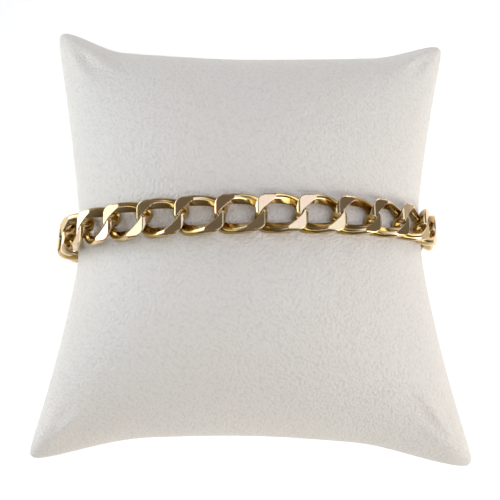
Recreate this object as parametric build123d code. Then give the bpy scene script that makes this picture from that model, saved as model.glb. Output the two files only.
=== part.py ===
from build123d import *
import os
from math import atan2, cos, degrees, hypot, pi, radians, sin

# A flat curb chain bracelet closed round the drawn-in waist of a square display cushion.
# Millimetres. X runs along the chain on top, Y across it, Z up from the surface under the cushion.
# The origin is on that surface, under the centre of the bracelet's loop.

# Sizes of one link. Its length lies along the chain, and both of its faces are ground flat.
link_length = 10.0
chain_width = 7.6
chain_thickness = 2.8
end_bar_width = 0.98
end_bar_thickness = 1.3
side_bar_width = 2.0
side_bar_thickness = 1.95
link_twist = 41.0
outline_squareness = 5.0
hole_squareness = 3.5
top_bevel = 0.48
link_sections = 20

# Width and height of the sloping edges of the bar, at the link's sides and at its ends
outer_edge = {"side": (0.5, 0.45), "end": (0.8, 0.6)}
inner_edge = {"side": (1.0, 0.9), "end": (0.45, 0.4)}
narrowest_face = 0.12

# The two raised quarters: a diagonal rim that may overhang the hole, and a taller bar near the end
rim_half_length = 5.0
rim_half_width = 3.8
rim_squareness = 1.1
rim_overhang = 1.3
rim_undercut = 0.12
corner_lift = 0.68
lift_start = 0.5
lift_full = 0.9
lift_spread = 0.17

# How the links follow each other: hooked end to end with play, and closer where the loop turns sharply
hooking_play = 0.44
free_turn = 8.0
closing_share_per_degree = 0.006

# The loop, measured along the middle of the chain's thickness, seen from the end of the cushion
loop_half_width = 40.5
loop_half_height = 25.5
first_link_offset = 6.04

# The plain box clasp on the underside
clasp_width = 7.0
clasp_least_length = 11.0
clasp_cover = 1.2
clasp_edge = 0.5

# The cushion: stuffed, with four pointed corners and a groove where the bracelet draws it in
cushion_width = 93.2
cushion_length = 99.2
cushion_middle_length = 85.0
chain_gap = 0.2
groove_side_gap = 0.4
shoulder_length = 14.0
puff_above = 1.2
puff_below = 9.0
rim_lift = 2.4
floor_gap = 1.1
corner_softness = 1.2
corner_sharpness = 30
end_sweep = 1.6
ear_share = 0.5
edge_fullness = 2.6
edge_roundness = 0.66
cushion_columns = 10
edge_rows = 7
shoulder_rows = 3

# The cushion lies a little to the right in the loop, and its far end is drawn in more than its near end
waist_share = {-1: 0.975, 1: 1.0}
middle_share = {-1: 1.012, 1: 0.98}

# How much farther each end of the cushion reaches on its right than on its left
end_slant = {-1: 2.0, 1: -1.2}

# Where the ears begin at the near and the far end, as a share of the way from the middle to the corner
ear_start = {-1: 0.45, 1: 0.62}

# How far each corner of the cushion reaches, as shares of half its width and half its length,
# and how long the side stays close to the waist before it sweeps out to the corner
corner_shape = {
    (-1, 1): (0.923, 1.000, 1.2),
    (1, 1): (1.000, 0.899, 1.2),
    (1, -1): (0.985, 1.000, 1.45),
    (-1, -1): (1.000, 0.921, 1.3),
}

link_spacing = link_length - 2 * end_bar_width - hooking_play
loop_height = loop_half_height + chain_thickness / 2 + floor_gap
groove_half_width = chain_width / 2 + groove_side_gap
groove_share = groove_half_width / (cushion_middle_length / 2)


def superellipse_radius(angle, squareness):
    """Distance from the centre to an outline of half sizes 1 that grows from a diamond to a square."""
    return (abs(cos(angle)) ** squareness + abs(sin(angle)) ** squareness) ** (-1 / squareness)


def solid_of(triangles):
    """A closed solid of flat triangular faces."""
    faces = [Face(Wire.make_polygon([Vector(*p) for p in triangle])) for triangle in triangles]
    return Solid(Shell(faces))


def smooth_step(share):
    share = min(max(share, 0), 1)
    return share * share * (3 - 2 * share)


def edge_size(edge, share):
    """Width and height of a sloping edge, part of the way from the link's side to its end."""
    return [side + (end - side) * share for side, end in zip(edge["side"], edge["end"])]


def distance_to_rim(start, way, reach):
    """How far the diagonal rim of a raised quarter lies from a point of the hole's outline."""
    near = -rim_overhang
    far = reach
    for _ in range(30):
        middle = (near + far) / 2
        x = abs(start[0] + way[0] * middle) / rim_half_length
        y = abs(start[1] + way[1] * middle) / rim_half_width
        if x ** rim_squareness + y ** rim_squareness < 1:
            near = middle
        else:
            far = middle
    return near


def link_section(angle):
    """The bar's eight-sided section where a ray at this angle crosses it, twisted into place."""
    half_length = link_length / 2
    half_width = chain_width / 2
    across = (cos(angle), sin(angle))
    outline = superellipse_radius(angle, outline_squareness)
    hole = superellipse_radius(angle, hole_squareness)
    outer = (half_length * outline * across[0], half_width * outline * across[1])
    hole_half_length = half_length - end_bar_width
    hole_half_width = half_width - side_bar_width
    inner = (hole_half_length * hole * across[0], hole_half_width * hole * across[1])
    reach = hypot(outer[0] - inner[0], outer[1] - inner[1])
    way = ((outer[0] - inner[0]) / reach, (outer[1] - inner[1]) / reach)
    share = across[0] ** 2
    half_thickness = (side_bar_thickness + (end_bar_thickness - side_bar_thickness) * share) / 2
    outer_width, outer_height = edge_size(outer_edge, share)
    inner_width, inner_height = edge_size(inner_edge, share)

    def face_height_and_rim(raised):
        """Height of the bar's face, above or below, and how far from the hole it starts."""
        towards_raised = abs(across[1]) if raised else -abs(across[1])
        lift = corner_lift * smooth_step((abs(across[0]) - lift_start) / (lift_full - lift_start))
        lift *= smooth_step((towards_raised + lift_spread) / (2 * lift_spread))
        rim = min(inner_width, reach - outer_width - narrowest_face)
        if raised:
            rim = min(rim, distance_to_rim(inner, way, reach))
        return half_thickness + lift, rim

    # The twist raises two opposite quarters of the link and lowers the other two
    raised = across[0] * across[1] < 0
    top, top_rim = face_height_and_rim(raised)
    bottom, bottom_rim = face_height_and_rim(not raised)

    def along(point, distance, height):
        return (point[0] + way[0] * distance, point[1] + way[1] * distance, height)

    corners = [
        along(inner, (bottom_rim - inner_width) * rim_undercut, inner_height - bottom),
        along(inner, (top_rim - inner_width) * rim_undercut, top - inner_height),
        along(inner, top_rim, top),
        along(outer, -outer_width, top),
        along(outer, 0, top - outer_height),
        along(outer, 0, outer_height - bottom),
        along(outer, -outer_width, -bottom),
        along(inner, bottom_rim, -bottom),
    ]
    return [twisted(corner) for corner in corners]


def twisted(point):
    """The link's ends turn opposite ways about its length, more the farther they are from its middle."""
    x, y, z = point
    turn = radians(-link_twist) * x / (link_length / 2)
    return (x, y * cos(turn) - z * sin(turn), y * sin(turn) + z * cos(turn))


def make_link():
    """One curb link, its length along X: a twisted bar, ground flat and bevelled on top."""
    rings = [link_section(2 * pi * k / link_sections) for k in range(link_sections)]
    triangles = []
    for k in range(link_sections):
        here = rings[k]
        after = rings[(k + 1) % link_sections]
        for i in range(len(here)):
            j = (i + 1) % len(here)
            triangles.append((here[i], after[i], here[j]))
            triangles.append((here[j], after[i], after[j]))
    ground = Box(link_length, chain_width, chain_thickness)
    ground = chamfer(ground.faces().sort_by(Axis.Z)[-1].edges(), top_bevel)
    return (solid_of(triangles) & ground).solids()[0]


def loop_point(turn):
    return (loop_half_width * cos(turn), loop_height + loop_half_height * sin(turn))


def loop_heading(turn):
    """Angle of the loop's direction towards +X over the top, as a rotation about Y."""
    return atan2(loop_half_height * cos(turn), loop_half_width * sin(turn))


def travel(turn, distance):
    """The loop's parameter after going this far along it, clockwise if positive."""
    steps = 60
    for _ in range(steps):
        speed = hypot(loop_half_width * sin(turn), loop_half_height * cos(turn))
        middle = turn - distance / steps / 2 / speed
        turn -= distance / steps / hypot(loop_half_width * sin(middle), loop_half_height * cos(middle))
    return turn


def next_link(turn, way):
    """The place of the neighbouring link, nearer where the loop turns sharply."""
    spacing = link_spacing
    for _ in range(3):
        bend = degrees(loop_heading(travel(turn, way * spacing)) - loop_heading(turn))
        bend = abs((bend + 180) % 360 - 180)
        spacing = link_spacing * (1 - closing_share_per_degree * max(0, bend - free_turn))
    return travel(turn, way * spacing)


def loop_length():
    steps = 400
    return sum(
        2 * pi / steps * hypot(loop_half_width * sin(t), loop_half_height * cos(t))
        for t in (2 * pi * (k + 0.5) / steps for k in range(steps))
    )


def length_between(first, last):
    steps = 400
    part = (first - last) / steps
    return sum(
        part * hypot(loop_half_width * sin(t), loop_half_height * cos(t))
        for t in (first - part * (k + 0.5) for k in range(steps))
    )


def chain_places():
    """Places from one end of the clasp to the other, the first and last being the clasp's own loops."""
    places = [travel(pi / 2, first_link_offset)]
    forward = True
    whole = loop_length()
    clasp_span = clasp_least_length - 2 * clasp_cover
    while True:
        if forward:
            longer = places + [next_link(places[-1], 1)]
        else:
            longer = [next_link(places[0], -1)] + places
        if whole - length_between(longer[0], longer[-1]) < clasp_span:
            return places
        places = longer
        forward = not forward


def on_loop(turn):
    """The frame of a piece that lies on the loop: X along the chain, Z outwards."""
    x, z = loop_point(turn)
    return Location((x, 0, z), (0, degrees(loop_heading(turn)), 0))


def make_clasp(link, first, last):
    """One plain piece: a box with a link soldered into each end, for the chain's end links."""
    middle = (first + last - 2 * pi) / 2
    clasp_length = loop_length() - length_between(first, last) + 2 * clasp_cover
    box = Box(clasp_length, clasp_width, chain_thickness)
    box = chamfer(box.edges(), clasp_edge)
    loops = link.moved(on_loop(first)) + link.moved(on_loop(last))
    return (box.moved(on_loop(middle)) + loops).solids()[0]


def cushion_point(across, along, side):
    """A point of the cover, for shares from -1 to 1 across and along it, on side 1 above or -1 below."""
    right = 1 if across >= 0 else -1
    waist_half_width = waist_share[right] * (loop_half_width - chain_thickness / 2 - chain_gap)
    waist_half_height = loop_half_height - chain_thickness / 2 - chain_gap
    far = 1 if along >= 0 else -1
    middle_half_length = middle_share[far] * cushion_middle_length / 2
    x_reach, y_reach, side_sweep = corner_shape[(right, far)]
    corner_x = x_reach * cushion_width / 2 + corner_softness - waist_half_width
    corner_y = y_reach * cushion_length / 2 + corner_softness - middle_half_length
    ear = smooth_step((abs(across) - ear_start[far]) / (1 - ear_start[far]))
    to_corner = (1 - ear_share) * abs(across) ** end_sweep + ear_share * ear
    pulled_in = corner_softness * abs(across * along) ** corner_sharpness
    beyond_groove = max(0, abs(along) - groove_share) / (1 - groove_share)
    x = across * (waist_half_width + corner_x * beyond_groove ** side_sweep) - right * pulled_in
    end = middle_half_length + corner_y * to_corner + end_slant[far] * across * (1 - to_corner)
    y = along * end - far * pulled_in
    shoulder = smooth_step((abs(y) - groove_half_width) / shoulder_length)
    puff = puff_above if side > 0 else puff_below
    fullness = max(0, 1 - abs(along) ** edge_fullness) ** edge_roundness
    dome = max(0, 1 - across ** 2) ** 0.5
    rim = loop_height + rim_lift * along ** 2
    z = rim + side * (waist_half_height + puff * shoulder) * fullness * dome
    return (x, y, max(z, 0))


def both_ways(shares):
    """Shares from -1 to 1, made from those above zero."""
    return [-s for s in reversed(shares)] + [0] + shares


def make_cushion():
    half = cushion_middle_length / 2
    shoulder = groove_share + shoulder_length / half
    columns = both_ways([sin(pi / 2 * k / cushion_columns) for k in range(1, cushion_columns + 1)])
    rise = (shoulder - groove_share) / shoulder_rows
    rows = [groove_share + rise * k for k in range(shoulder_rows + 1)]
    rows += [shoulder + (1 - shoulder) * sin(pi / 2 * k / edge_rows) for k in range(1, edge_rows + 1)]
    rows = both_ways(rows)
    triangles = []
    for side in (1, -1):
        grid = [[cushion_point(a, b, side) for a in columns] for b in rows]
        for r in range(len(rows) - 1):
            for c in range(len(columns) - 1):
                corners = [grid[r][c], grid[r][c + 1], grid[r + 1][c + 1], grid[r + 1][c]]
                # The dividing line points at the cushion's nearest corner
                if (rows[r] + rows[r + 1]) * (columns[c] + columns[c + 1]) < 0:
                    corners = corners[1:] + corners[:1]
                triangles.append((corners[0], corners[1], corners[2]))
                triangles.append((corners[0], corners[2], corners[3]))
    return solid_of(triangles).clean()


os.makedirs("parts", exist_ok=True)

link = make_link()
places = chain_places()
for number, place in enumerate(places[1:-1], start=1):
    export_step(link.moved(on_loop(place)), f"parts/link_{number:02d}.step")
export_step(make_clasp(link, places[0], places[-1]), "parts/clasp.step")
export_step(make_cushion(), "parts/cushion.step")
print("links", len(places) - 2, "loop", round(loop_length(), 2), "mm")
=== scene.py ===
from math import cos, hypot, pi, radians, sin

import bmesh
import bpy
import numpy as np
from mathutils import Matrix, Vector


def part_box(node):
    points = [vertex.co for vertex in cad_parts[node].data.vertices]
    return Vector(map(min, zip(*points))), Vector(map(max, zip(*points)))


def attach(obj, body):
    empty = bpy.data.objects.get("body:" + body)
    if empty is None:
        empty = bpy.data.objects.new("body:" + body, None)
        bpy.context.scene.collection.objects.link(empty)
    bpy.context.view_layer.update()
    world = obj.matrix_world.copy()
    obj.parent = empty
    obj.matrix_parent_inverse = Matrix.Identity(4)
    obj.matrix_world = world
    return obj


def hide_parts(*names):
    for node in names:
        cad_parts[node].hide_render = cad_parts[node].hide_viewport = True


# Looks of a polished gold curb chain bracelet on a white leatherette display cushion.
# Metres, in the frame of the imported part: X along the chain on top, Y across it, Z up from the surface.
# Lengths are given in millimetres times MM, apart from the light panels' sizes in metres.

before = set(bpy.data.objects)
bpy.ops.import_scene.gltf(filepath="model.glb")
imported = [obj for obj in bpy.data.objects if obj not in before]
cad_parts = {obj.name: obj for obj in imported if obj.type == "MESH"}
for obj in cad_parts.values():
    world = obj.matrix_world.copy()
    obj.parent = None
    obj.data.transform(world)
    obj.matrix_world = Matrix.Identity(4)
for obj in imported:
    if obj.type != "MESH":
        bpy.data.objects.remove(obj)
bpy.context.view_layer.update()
MM = 0.001

# Sizes of one link, as in the part's source
LINK_LENGTH = 10.0 * MM
CHAIN_WIDTH = 7.6 * MM
CHAIN_THICKNESS = 2.8 * MM
END_BAR_WIDTH = 0.98 * MM
SIDE_BAR_WIDTH = 2.0 * MM
END_BAR_THICKNESS = 1.3 * MM
SIDE_BAR_THICKNESS = 1.95 * MM
LINK_TWIST = 41.0
OUTLINE_SQUARENESS = 5.0
HOLE_SQUARENESS = 3.5

# Width and height of the sloping edges of the bar, at the link's sides and at its ends
OUTER_EDGE_SIDE = (0.5 * MM, 0.45 * MM)
OUTER_EDGE_END = (0.8 * MM, 0.6 * MM)
INNER_EDGE_SIDE = (1.0 * MM, 0.9 * MM)
INNER_EDGE_END = (0.45 * MM, 0.4 * MM)

# The raised quarters: a diagonal rim that may overhang the hole, and extra height towards the end
RIM_HALF_LENGTH = 5.0 * MM
RIM_HALF_WIDTH = 3.8 * MM
RIM_SQUARENESS = 1.1
RIM_OVERHANG = 1.3 * MM
RIM_UNDERCUT = 0.12
RIDGE_WIDTH = 0.12 * MM
CORNER_LIFT = 0.68 * MM
LIFT_START = 0.5
LIFT_FULL = 0.9
LIFT_SPREAD = 0.17

# Fineness and edges of the polished link. Faces that meet at more than the sharp angle show an edge. Each
# cut of the bevel has its lean in degrees, and how far in and down from the link's top edge it passes.
LINK_SECTIONS = 96
SHARP_ANGLE = 28
FACE_TOLERANCE = 0.0001 * MM
RIM_SEARCH_STEPS = 30
NORMAL_DIGITS = 2
CORNER_SHARE = 0.22
CORNER_STEPS = 3
TOP_BEVEL = 0.48 * MM
BEVEL_ROUNDING = 0.03 * MM
BEVEL_DIRECTIONS = 16
BEVEL_CUTS = (
    (22.5, TOP_BEVEL, BEVEL_ROUNDING),
    (45, TOP_BEVEL, 0),
    (67.5, BEVEL_ROUNDING, TOP_BEVEL),
)

# Sizes of the cushion and of the loop that draws it in, as in the part's source
LOOP_HALF_WIDTH = 40.5 * MM
LOOP_HALF_HEIGHT = 25.5 * MM
FLOOR_GAP = 1.1 * MM
CHAIN_GAP = 0.2 * MM
GROOVE_SIDE_GAP = 0.4 * MM
CUSHION_WIDTH = 93.2 * MM
CUSHION_LENGTH = 99.2 * MM
CUSHION_MIDDLE_LENGTH = 85.0 * MM
SHOULDER_LENGTH = 14.0 * MM
PUFF_ABOVE = 1.2 * MM
PUFF_BELOW = 9.0 * MM
RIM_LIFT = 2.4 * MM
CORNER_SOFTNESS = 1.2 * MM
CORNER_SHARPNESS = 30
END_SWEEP = 1.6
EDGE_FULLNESS = 2.6
EDGE_ROUNDNESS = 0.66

# The cushion's unlike sides, -1 towards -X or -Y and 1 towards +X or +Y: how far its waist and its middle
# reach, how its ends slant and where their ears start. A corner has its reach along X and along Y, and how
# late its side sweeps out to it.
WAIST_SHARE = {-1: 0.975, 1: 1.0}
MIDDLE_SHARE = {-1: 1.012, 1: 0.98}
END_SLANT = {-1: 2.0 * MM, 1: -1.2 * MM}
EAR_START = {-1: 0.45, 1: 0.62}
EAR_SHARE = 0.5
CORNER_SHAPE = {
    (-1, 1): (0.923, 1.000, 1.2),
    (1, 1): (1.000, 0.899, 1.2),
    (1, -1): (0.985, 1.000, 1.45),
    (-1, -1): (1.000, 0.921, 1.3),
}

# Fineness of the cushion's cover, and how tightly it is filled
CUSHION_COLUMNS = 96
CUSHION_ROWS = 112
ROW_EVENNESS = 0.45

# Soft folds that run in from the cushion's corners: side across, side along, direction inwards in degrees,
# the fold's length and width as shares of the cushion's half sizes, and its height
FOLD_ROOM = 3 * MM
CORNER_FOLDS = (
    (-1, 1, 30, 0.50, 0.050, 1.1 * MM),
    (-1, 1, 58, 0.42, 0.045, 0.8 * MM),
    (1, 1, 34, 0.42, 0.045, 0.9 * MM),
    (1, 1, 64, 0.34, 0.040, 0.6 * MM),
    (1, -1, 32, 0.36, 0.040, 0.9 * MM),
    (1, -1, 52, 0.46, 0.040, 1.1 * MM),
    (1, -1, 70, 0.30, 0.035, 0.6 * MM),
    (-1, -1, 36, 0.40, 0.045, 0.8 * MM),
    (-1, -1, 60, 0.32, 0.040, 0.6 * MM),
)

LOOP_HEIGHT = LOOP_HALF_HEIGHT + CHAIN_THICKNESS / 2 + FLOOR_GAP
GROOVE_HALF_WIDTH = CHAIN_WIDTH / 2 + GROOVE_SIDE_GAP
GROOVE_SHARE = GROOVE_HALF_WIDTH / (CUSHION_MIDDLE_LENGTH / 2)

# Colours, roughness, and the sizes and depths of the marks on the polished gold and on the leatherette.
# Shade is painted into the gold from the recess's top to its bottom, heights above the middle of a link.
GOLD_YELLOW = (0.87, 0.67, 0.38)
GOLD_ROSE = (0.86, 0.62, 0.39)
GOLD_RECESS_SHADE = (0.46, 0.31, 0.10)
RECESS_SHADE_TOP = 1.25 * MM
RECESS_SHADE_BOTTOM = 0.1 * MM
GOLD_WAVE_SIZE = 2.5 * MM
GOLD_WAVE_DEPTH = 0.035 * MM
GOLD_WEAR_SIZE = 0.35 * MM
GOLD_WEAR_DEPTH = 0.001 * MM
GOLD_EDGE_RADIUS = 0.2 * MM
GOLD_ROUGHNESS = (0.09, 0.17)
LEATHER_COOL = (0.93, 0.88, 0.81)
LEATHER_WARM = (0.94, 0.875, 0.795)
# Painted shade in the valleys between the leatherette's pebbles: its colour and how much of it
LEATHER_VALLEY_SHADE = (0.64, 0.63, 0.61)
LEATHER_VALLEY_SHADE_SHARE = 0.25
LEATHER_ROUGHNESS = (0.62, 0.42)
LEATHER_PEBBLE_SIZE = 0.5 * MM
LEATHER_PEBBLE_DEPTH = 0.12 * MM
LEATHER_CREASE_SIZE = 2.2 * MM
LEATHER_CREASE_DEPTH = 0.12 * MM
LEATHER_PATCH_SIZE = 22 * MM

# The floor glows as painted light within the first distance from the middle, and beyond the second its
# colour is darkened as painted fall-off of light
FLOOR_SIZE = 4000 * MM
FLOOR_GLOW = 0.4
FLOOR_GLOW_COLOUR = (1, 0.98, 0.94)
FLOOR_ROUGHNESS = 0.8
FLOOR_NEAR = (0.95, 0.95, 0.95)
FLOOR_FAR_SHADE = (0.55, 0.53, 0.5)
FLOOR_LIGHT_FADE = (90 * MM, 260 * MM)

# Soft panels: name, longitude from overhead towards +X and latitude towards +Y in degrees, width and
# length in metres, radiance and colour
LIGHT_DISTANCE = 600 * MM
LIGHTS = (
    ("right_panel", 25.5, 12, 0.38, 0.50, 0.98, (0.93, 1.07, 1.45)),
    ("left_panel", -72, 10, 0.46, 0.9, 1.4, (0.96, 1.1, 1.25)),
    ("front_panel", 6, -30, 0.75, 0.12, 2.2, (1.04, 1.02, 0.98)),
    ("back_panel", 0, 38, 0.8, 0.2, 0.2, (1.04, 1.02, 0.98)),
    ("right_front_panel", 66, -30, 0.45, 0.36, 2.8, (1.04, 1.03, 0.99)),
    ("right_back_panel", 80, 46, 0.4, 0.3, 2.5, (1.04, 1.03, 0.99)),
    ("left_back_panel", -86, 18, 0.4, 0.6, 1.4, (1.04, 1.02, 0.98)),
)
WORLD_COLOUR = (1, 0.92, 0.8)
WORLD_STRENGTH = 0.15

# Camera, as the photograph was taken, its angles in degrees
CAMERA_DISTANCE = 137.8 * MM
CAMERA_ELEVATION = 79.13
CAMERA_AZIMUTH = -4.06
CAMERA_ROLL = 4.28
CAMERA_AIM = Vector((0.44 * MM, -2.53 * MM, LOOP_HEIGHT))
CAMERA_FIELD = 45.0
CAMERA_NEAR = 5 * MM


def superellipse_radius(angle, squareness):
    return (abs(cos(angle)) ** squareness + abs(sin(angle)) ** squareness) ** (-1 / squareness)


def smooth_step(share):
    share = np.clip(share, 0, 1)
    return share * share * (3 - 2 * share)


def twisted(point):
    x, y, z = point
    turn = radians(-LINK_TWIST) * x / (LINK_LENGTH / 2)
    return (x, y * cos(turn) - z * sin(turn), y * sin(turn) + z * cos(turn))


def rounded(corners):
    """The section with each corner replaced by a short curve."""
    points = []
    count = len(corners)
    for k in range(count):
        before = np.array(corners[k - 1])
        corner = np.array(corners[k])
        after = np.array(corners[(k + 1) % count])
        start = corner + (before - corner) * CORNER_SHARE
        end = corner + (after - corner) * CORNER_SHARE
        for step in range(CORNER_STEPS + 1):
            t = step / CORNER_STEPS
            points.append((1 - t) ** 2 * start + 2 * t * (1 - t) * corner + t ** 2 * end)
    return points


def between(side_and_end, share):
    """A pair of sizes of the bar, part of the way from the link's side to its end."""
    side, end = side_and_end
    return [s + (e - s) * share for s, e in zip(side, end)]


def to_rim(start, way, reach):
    """How far the diagonal rim of a raised quarter lies from a point of the hole's edge."""
    near, far = -RIM_OVERHANG, reach
    for _ in range(RIM_SEARCH_STEPS):
        middle = (near + far) / 2
        x = (start[0] + way[0] * middle) / RIM_HALF_LENGTH
        y = (start[1] + way[1] * middle) / RIM_HALF_WIDTH
        if abs(x) ** RIM_SQUARENESS + abs(y) ** RIM_SQUARENESS < 1:
            near = middle
        else:
            far = middle
    return near


def link_section(angle):
    """The bar's section where a ray at this angle leaves the link's middle, twisted into place."""
    half_length = LINK_LENGTH / 2
    half_width = CHAIN_WIDTH / 2
    across = (cos(angle), sin(angle))
    outline = superellipse_radius(angle, OUTLINE_SQUARENESS)
    hole = superellipse_radius(angle, HOLE_SQUARENESS)
    outer = (half_length * outline * across[0], half_width * outline * across[1])
    inner = (
        (half_length - END_BAR_WIDTH) * hole * across[0],
        (half_width - SIDE_BAR_WIDTH) * hole * across[1],
    )
    reach = hypot(outer[0] - inner[0], outer[1] - inner[1])
    way = ((outer[0] - inner[0]) / reach, (outer[1] - inner[1]) / reach)
    share = across[0] ** 2
    thickness = SIDE_BAR_THICKNESS + (END_BAR_THICKNESS - SIDE_BAR_THICKNESS) * share
    outer_width, outer_height = between((OUTER_EDGE_SIDE, OUTER_EDGE_END), share)
    inner_width, inner_height = between((INNER_EDGE_SIDE, INNER_EDGE_END), share)

    def face_height_and_edge(raised):
        towards_raised = abs(across[1]) if raised else -abs(across[1])
        lift = CORNER_LIFT * smooth_step((abs(across[0]) - LIFT_START) / (LIFT_FULL - LIFT_START))
        lift *= smooth_step((towards_raised + LIFT_SPREAD) / (2 * LIFT_SPREAD))
        edge = min(inner_width, reach - outer_width - RIDGE_WIDTH)
        if raised:
            edge = min(edge, to_rim(inner, way, reach))
        return thickness / 2 + lift, edge

    raised = across[0] * across[1] < 0
    top, top_edge = face_height_and_edge(raised)
    bottom, bottom_edge = face_height_and_edge(not raised)

    def along(point, distance, height):
        return (point[0] + way[0] * distance, point[1] + way[1] * distance, height)

    corners = [
        along(inner, (bottom_edge - inner_width) * RIM_UNDERCUT, inner_height - bottom),
        along(inner, (top_edge - inner_width) * RIM_UNDERCUT, top - inner_height),
        along(inner, top_edge, top),
        along(outer, -outer_width, top),
        along(outer, 0, top - outer_height),
        along(outer, 0, outer_height - bottom),
        along(outer, -outer_width, -bottom),
        along(inner, bottom_edge, -bottom),
    ]
    return [twisted(corner) for corner in rounded(corners)]


def shaded_mesh(name, bm, smooth_angle, flat=()):
    """A smooth mesh, sharp round its flat faces and where faces meet at more than the angle."""
    for edge in bm.edges:
        edge.smooth = edge.calc_face_angle(0) < smooth_angle
    for face in bm.faces:
        face.smooth = True
    for face in flat:
        face.smooth = False
    mesh = bpy.data.meshes.new(name)
    bm.to_mesh(mesh)
    bm.free()
    return mesh


def grind(bm, point, normal):
    """Cuts off what lies beyond a plane and closes the cut with flat faces."""
    everything = list(bm.verts) + list(bm.edges) + list(bm.faces)
    cut = bmesh.ops.bisect_plane(bm, geom=everything, plane_co=point, plane_no=normal, clear_outer=True)
    rim = [e for e in cut["geom_cut"] if isinstance(e, bmesh.types.BMEdge)]
    if rim:
        bmesh.ops.edgeloop_fill(bm, edges=rim)


def bevel_top(bm):
    """Slopes the link's top off towards its outline, a little rounded above and below the slope."""
    power = OUTLINE_SQUARENESS / (OUTLINE_SQUARENESS - 1)
    for k in range(BEVEL_DIRECTIONS):
        turn = 2 * pi * k / BEVEL_DIRECTIONS
        x_reach = (LINK_LENGTH / 2 * abs(cos(turn))) ** power
        y_reach = (CHAIN_WIDTH / 2 * abs(sin(turn))) ** power
        edge = (x_reach + y_reach) ** (1 / power)
        for lean, inset, drop in BEVEL_CUTS:
            height = CHAIN_THICKNESS / 2 - drop
            point = Vector((cos(turn) * (edge - inset), sin(turn) * (edge - inset), height))
            across = sin(radians(lean))
            normal = Vector((cos(turn) * across, sin(turn) * across, cos(radians(lean))))
            grind(bm, point, normal)


def link_mesh():
    """One curb link lying flat at the origin: a twisted bar, ground on both faces, its top bevelled."""
    rings = [link_section(2 * pi * k / LINK_SECTIONS) for k in range(LINK_SECTIONS)]
    bm = bmesh.new()
    rows = [[bm.verts.new(point) for point in ring] for ring in rings]
    count = len(rows[0])
    for k in range(LINK_SECTIONS):
        here = rows[k]
        after = rows[(k + 1) % LINK_SECTIONS]
        for i in range(count):
            j = (i + 1) % count
            bm.faces.new((here[i], after[i], after[j], here[j]))
    for way in (1, -1):
        grind(bm, (0, 0, way * CHAIN_THICKNESS / 2), (0, 0, way))
    bevel_top(bm)
    bmesh.ops.recalc_face_normals(bm, faces=bm.faces)
    ground_height = CHAIN_THICKNESS / 2 - FACE_TOLERANCE
    ground = [face for face in bm.faces if abs(face.calc_center_median().z) > ground_height]
    return shaded_mesh("link", bm, radians(SHARP_ANGLE), ground)


def node_pose(node):
    """Where a link's node lies: its middle, and its ground faces' direction, away from the loop."""
    low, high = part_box(node.name)
    areas = {}
    for polygon in node.data.polygons:
        key = tuple(round(value, NORMAL_DIGITS) for value in polygon.normal)
        total, normal = areas.get(key, (0, Vector()))
        areas[key] = (total + polygon.area, normal + polygon.normal * polygon.area)
    outward = max(areas.values(), key=lambda item: item[0])[1].normalized()
    if outward.dot((low + high) / 2 - Vector((0, 0, LOOP_HEIGHT))) < 0:
        outward = -outward
    across = Vector((0, 1, 0))
    axes = Matrix((across.cross(outward).normalized(), across, outward))
    corners = [axes @ (node.matrix_world @ vertex.co) for vertex in node.data.vertices]
    middle = Vector([(min(values) + max(values)) / 2 for values in zip(*corners)])
    pose = axes.transposed().to_4x4()
    pose.translation = axes.transposed() @ middle
    return pose


def make_links(gold):
    mesh = link_mesh()
    mesh.materials.append(gold)
    for name, node in sorted(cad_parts.items()):
        if not name.startswith("link_"):
            continue
        piece = bpy.data.objects.new(name.replace("link", "polished_link"), mesh)
        bpy.context.collection.objects.link(piece)
        piece.matrix_world = node_pose(node)
        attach(piece, "root")
        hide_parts(name)


def fold_height(across, along):
    """How far the folds near a corner stand out from the cover there."""
    height = 0
    for side_across, side_along, direction, length, width, depth in CORNER_FOLDS:
        inwards = 1 - across * side_across
        down = 1 - along * side_along
        if inwards > 1 or down > 1:
            continue
        turn = radians(direction)
        travelled = (inwards * cos(turn) + down * sin(turn)) / length
        beside = (down * cos(turn) - inwards * sin(turn)) / width
        if 0 < travelled < 1:
            height += depth * sin(pi * travelled) ** 2 * np.exp(-beside ** 2)
    return height


def cushion_point(across, along, side):
    """A point of the cover. across and along run from -1 to 1 over X and Y. side is 1 above, -1 below."""
    right = 1 if across >= 0 else -1
    waist_half_width = WAIST_SHARE[right] * (LOOP_HALF_WIDTH - CHAIN_THICKNESS / 2 - CHAIN_GAP)
    waist_half_height = LOOP_HALF_HEIGHT - CHAIN_THICKNESS / 2 - CHAIN_GAP
    far = 1 if along >= 0 else -1
    middle_half_length = MIDDLE_SHARE[far] * CUSHION_MIDDLE_LENGTH / 2
    x_reach, y_reach, side_sweep = CORNER_SHAPE[(right, far)]
    corner_x = x_reach * CUSHION_WIDTH / 2 + CORNER_SOFTNESS - waist_half_width
    corner_y = y_reach * CUSHION_LENGTH / 2 + CORNER_SOFTNESS - middle_half_length
    ear = smooth_step((abs(across) - EAR_START[far]) / (1 - EAR_START[far]))
    to_corner = (1 - EAR_SHARE) * abs(across) ** END_SWEEP + EAR_SHARE * ear
    pulled_in = CORNER_SOFTNESS * abs(across * along) ** CORNER_SHARPNESS
    beyond_groove = max(0, abs(along) - GROOVE_SHARE) / (1 - GROOVE_SHARE)
    x = across * (waist_half_width + corner_x * beyond_groove ** side_sweep) - right * pulled_in
    end = middle_half_length + corner_y * to_corner + END_SLANT[far] * across * (1 - to_corner)
    y = along * end - far * pulled_in
    shoulder = smooth_step((abs(y) - GROOVE_HALF_WIDTH) / SHOULDER_LENGTH)
    puff = PUFF_ABOVE if side > 0 else PUFF_BELOW
    fullness = max(0, 1 - abs(along) ** EDGE_FULLNESS) ** EDGE_ROUNDNESS
    dome = max(0, 1 - across ** 2) ** 0.5
    rim = LOOP_HEIGHT + RIM_LIFT * along ** 2
    thickness = (waist_half_height + puff * shoulder) * fullness * dome
    z = rim + side * (thickness + fold_height(across, along) * min(1, thickness / FOLD_ROOM))
    return (x, y, max(z, 0))


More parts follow.
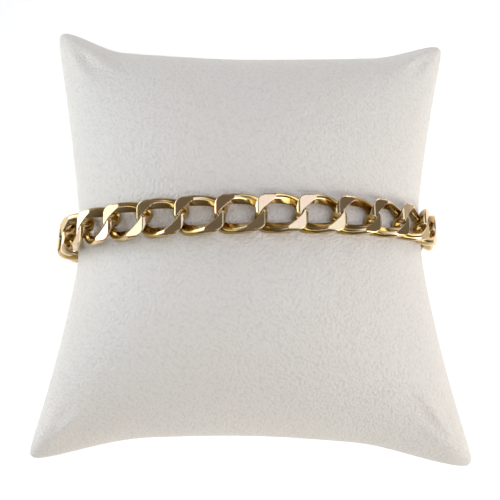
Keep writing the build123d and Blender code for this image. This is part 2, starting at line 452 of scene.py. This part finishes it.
def make_cushion(leather):
    columns = [sin(pi / 2 * k / CUSHION_COLUMNS) for k in range(-CUSHION_COLUMNS, CUSHION_COLUMNS + 1)]
    rows = []
    for k in range(-CUSHION_ROWS, CUSHION_ROWS + 1):
        share = k / CUSHION_ROWS
        rows.append(ROW_EVENNESS * share + (1 - ROW_EVENNESS) * sin(pi / 2 * share))
    bm = bmesh.new()
    last_row = len(rows) - 1
    last_column = len(columns) - 1
    above = [[bm.verts.new(cushion_point(a, b, 1)) for a in columns] for b in rows]
    below = []
    for r, b in enumerate(rows):
        line = []
        for c, a in enumerate(columns):
            on_rim = r in (0, last_row) or c in (0, last_column)
            line.append(above[r][c] if on_rim else bm.verts.new(cushion_point(a, b, -1)))
        below.append(line)
    for r in range(last_row):
        for c in range(last_column):
            bm.faces.new((above[r][c], above[r][c + 1], above[r + 1][c + 1], above[r + 1][c]))
            bm.faces.new((below[r][c], below[r + 1][c], below[r + 1][c + 1], below[r][c + 1]))
    mesh = shaded_mesh("stuffed_cushion", bm, radians(180))
    mesh.materials.append(leather)
    piece = bpy.data.objects.new("stuffed_cushion", mesh)
    bpy.context.collection.objects.link(piece)
    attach(piece, "root")
    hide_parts("cushion")


def new_material(name):
    material = bpy.data.materials.new(name)
    material.use_nodes = True
    tree = material.node_tree
    return material, tree, tree.nodes["Principled BSDF"]


def surface_position(tree):
    """Object coordinates, shifted by the piece's place so that no two pieces have the same marks."""
    coordinates = tree.nodes.new("ShaderNodeTexCoord")
    place = tree.nodes.new("ShaderNodeObjectInfo")
    shifted = tree.nodes.new("ShaderNodeVectorMath")
    shifted.operation = "ADD"
    tree.links.new(coordinates.outputs["Object"], shifted.inputs[0])
    tree.links.new(place.outputs["Location"], shifted.inputs[1])
    return shifted.outputs["Vector"]


def noise(tree, position, size, detail=2):
    """Soft noise from 0 to 1 whose patches are about this size in metres."""
    node = tree.nodes.new("ShaderNodeTexNoise")
    node.inputs["Scale"].default_value = 1 / size
    node.inputs["Detail"].default_value = detail
    tree.links.new(position, node.inputs["Vector"])
    return node.outputs["Fac"]


def remap(tree, value, low, high, new_low, new_high):
    node = tree.nodes.new("ShaderNodeMapRange")
    for socket, number in zip(node.inputs[1:5], (low, high, new_low, new_high)):
        socket.default_value = number
    tree.links.new(value, node.inputs["Value"])
    return node.outputs["Result"]


def mixed_colour(tree, share, first, second):
    node = tree.nodes.new("ShaderNodeMix")
    node.data_type = "RGBA"
    for socket, colour in zip([s for s in node.inputs if s.type == "RGBA"], (first, second)):
        if isinstance(colour, tuple):
            socket.default_value = (*colour, 1)
        else:
            tree.links.new(colour, socket)
    tree.links.new(share, node.inputs["Factor"])
    return [s for s in node.outputs if s.type == "RGBA"][0]


def bump(tree, height, depth, below=None):
    """Relief of this depth in metres, laid over another relief where one is given."""
    node = tree.nodes.new("ShaderNodeBump")
    node.inputs["Distance"].default_value = depth
    tree.links.new(height, node.inputs["Height"])
    if below is not None:
        tree.links.new(below, node.inputs["Normal"])
    return node.outputs["Normal"]


def gold_material(name, paint_recess_shade):
    """Polished gold: slightly wavy, with fine wear, soft edges and a little change of tint.

    Where asked, shade is painted into the colour: darker below the top of the link, down into its
    recesses.
    """
    material, tree, shader = new_material(name)
    position = surface_position(tree)
    waves = noise(tree, position, GOLD_WAVE_SIZE, 0)
    wear = noise(tree, position, GOLD_WEAR_SIZE, 4)
    tint = mixed_colour(tree, remap(tree, waves, 0.35, 0.65, 0, 1), GOLD_YELLOW, GOLD_ROSE)
    # Painted shade: the colour darkens from the top of the link down into its recesses.
    if paint_recess_shade:
        coordinates = tree.nodes.new("ShaderNodeTexCoord")
        height = tree.nodes.new("ShaderNodeSeparateXYZ")
        tree.links.new(coordinates.outputs["Object"], height.inputs["Vector"])
        depth = remap(tree, height.outputs["Z"], RECESS_SHADE_TOP, RECESS_SHADE_BOTTOM, 0, 1)
        tint = mixed_colour(tree, depth, tint, GOLD_RECESS_SHADE)
    worn_edges = tree.nodes.new("ShaderNodeBevel")
    worn_edges.inputs["Radius"].default_value = GOLD_EDGE_RADIUS
    relief = bump(tree, waves, GOLD_WAVE_DEPTH, worn_edges.outputs["Normal"])
    relief = bump(tree, wear, GOLD_WEAR_DEPTH, relief)
    tree.links.new(tint, shader.inputs["Base Color"])
    tree.links.new(remap(tree, wear, 0.3, 0.7, *GOLD_ROUGHNESS), shader.inputs["Roughness"])
    tree.links.new(relief, shader.inputs["Normal"])
    shader.inputs["Metallic"].default_value = 1
    return material


def leather_material():
    """White leatherette: small pebbles with shade painted into their valleys, creased finely and a little
    uneven in tone.
    """
    material, tree, shader = new_material("white_leatherette")
    position = surface_position(tree)
    warped = tree.nodes.new("ShaderNodeVectorMath")
    warped.operation = "ADD"
    unevenness = tree.nodes.new("ShaderNodeTexNoise")
    unevenness.inputs["Scale"].default_value = 1 / LEATHER_CREASE_SIZE
    tree.links.new(position, unevenness.inputs["Vector"])
    spread = tree.nodes.new("ShaderNodeVectorMath")
    spread.operation = "SCALE"
    spread.inputs["Scale"].default_value = LEATHER_PEBBLE_SIZE
    tree.links.new(unevenness.outputs["Color"], spread.inputs[0])
    tree.links.new(position, warped.inputs[0])
    tree.links.new(spread.outputs["Vector"], warped.inputs[1])
    cells = tree.nodes.new("ShaderNodeTexVoronoi")
    cells.feature = "SMOOTH_F1"
    cells.inputs["Scale"].default_value = 1 / LEATHER_PEBBLE_SIZE
    tree.links.new(warped.outputs["Vector"], cells.inputs["Vector"])
    pebbles = remap(tree, cells.outputs["Distance"], 0.1, 0.7, 1, 0)
    creases = noise(tree, position, LEATHER_CREASE_SIZE, 3)
    patches = noise(tree, position, LEATHER_PATCH_SIZE)
    tone = mixed_colour(tree, remap(tree, patches, 0.35, 0.65, 0, 1), LEATHER_COOL, LEATHER_WARM)
    # Painted shade: the valleys between the pebbles are darkened towards grey.
    valley_shade = remap(tree, pebbles, 0, 0.5, LEATHER_VALLEY_SHADE_SHARE, 0)
    tone = mixed_colour(tree, valley_shade, tone, LEATHER_VALLEY_SHADE)
    relief = bump(tree, pebbles, LEATHER_PEBBLE_DEPTH, bump(tree, creases, LEATHER_CREASE_DEPTH))
    tree.links.new(tone, shader.inputs["Base Color"])
    tree.links.new(remap(tree, pebbles, 0, 1, *LEATHER_ROUGHNESS), shader.inputs["Roughness"])
    tree.links.new(relief, shader.inputs["Normal"])
    return material


def make_floor():
    """A pale floor with painted light: it glows round the bracelet, and its colour darkens further off as
    painted fall-off of light.
    """
    bpy.ops.mesh.primitive_plane_add(size=FLOOR_SIZE, location=(0, 0, 0))
    floor = bpy.context.object
    floor.name = "floor"
    material, tree, shader = new_material("pale_floor")
    coordinates = tree.nodes.new("ShaderNodeTexCoord")
    distance = tree.nodes.new("ShaderNodeVectorMath")
    distance.operation = "LENGTH"
    tree.links.new(coordinates.outputs["Object"], distance.inputs[0])
    # Painted light: the floor glows round the middle, and its colour darkens further off as painted
    # fall-off of light.
    near = remap(tree, distance.outputs["Value"], *FLOOR_LIGHT_FADE, 1, 0)
    tree.links.new(mixed_colour(tree, near, FLOOR_FAR_SHADE, FLOOR_NEAR), shader.inputs["Base Color"])
    tree.links.new(remap(tree, near, 0, 1, 0, FLOOR_GLOW), shader.inputs["Emission Strength"])
    shader.inputs["Roughness"].default_value = FLOOR_ROUGHNESS
    shader.inputs["Emission Color"].default_value = (*FLOOR_GLOW_COLOUR, 1)
    floor.data.materials.append(material)


def make_light(name, longitude, latitude, width, length, radiance, colour):
    """A soft panel that faces the bracelet, its width round the chain and its length across it."""
    light = bpy.data.lights.new(name, "AREA")
    light.shape = "RECTANGLE"
    light.size = width
    light.size_y = length
    light.energy = radiance * pi * width * length
    light.color = colour
    lamp = bpy.data.objects.new(name, light)
    bpy.context.collection.objects.link(lamp)
    lon = radians(longitude)
    lat = radians(latitude)
    back = Vector((sin(lon) * cos(lat), sin(lat), cos(lon) * cos(lat)))
    right = Vector((cos(lon), 0, -sin(lon)))
    pose = Matrix((right, back.cross(right), back)).transposed().to_4x4()
    pose.translation = Vector((0, 0, LOOP_HEIGHT)) + back * LIGHT_DISTANCE
    lamp.matrix_world = pose


def make_lights():
    for panel in LIGHTS:
        make_light(*panel)
    world = bpy.data.worlds.new("studio")
    bpy.context.scene.world = world
    world.use_nodes = True
    background = world.node_tree.nodes["Background"]
    background.inputs["Color"].default_value = (*WORLD_COLOUR, 1)
    background.inputs["Strength"].default_value = WORLD_STRENGTH


def make_camera():
    azimuth = radians(CAMERA_AZIMUTH)
    elevation = radians(CAMERA_ELEVATION)
    roll = radians(CAMERA_ROLL)
    back = Vector((sin(azimuth) * cos(elevation), -cos(azimuth) * cos(elevation), sin(elevation)))
    position = Vector((0, 0, LOOP_HEIGHT)) + back * CAMERA_DISTANCE
    forward = (CAMERA_AIM - position).normalized()
    right = forward.cross(Vector((0, 0, 1))).normalized()
    up = right.cross(forward)
    rolled_right = right * cos(roll) + up * sin(roll)
    rolled_up = up * cos(roll) - right * sin(roll)
    data = bpy.data.cameras.new("camera")
    data.sensor_fit = "HORIZONTAL"
    data.angle = radians(CAMERA_FIELD)
    data.clip_start = CAMERA_NEAR
    camera = bpy.data.objects.new("camera", data)
    bpy.context.collection.objects.link(camera)
    pose = Matrix((rolled_right, rolled_up, -forward)).transposed().to_4x4()
    pose.translation = position
    camera.matrix_world = pose
    bpy.context.scene.camera = camera


make_camera()
make_floor()
make_lights()
make_links(gold_material("polished_gold", paint_recess_shade=True))
make_cushion(leather_material())
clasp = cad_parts["clasp"]
clasp.data.materials.clear()
clasp.data.materials.append(gold_material("clasp_gold", paint_recess_shade=False))
bpy.context.scene.view_settings.view_transform = "Standard"
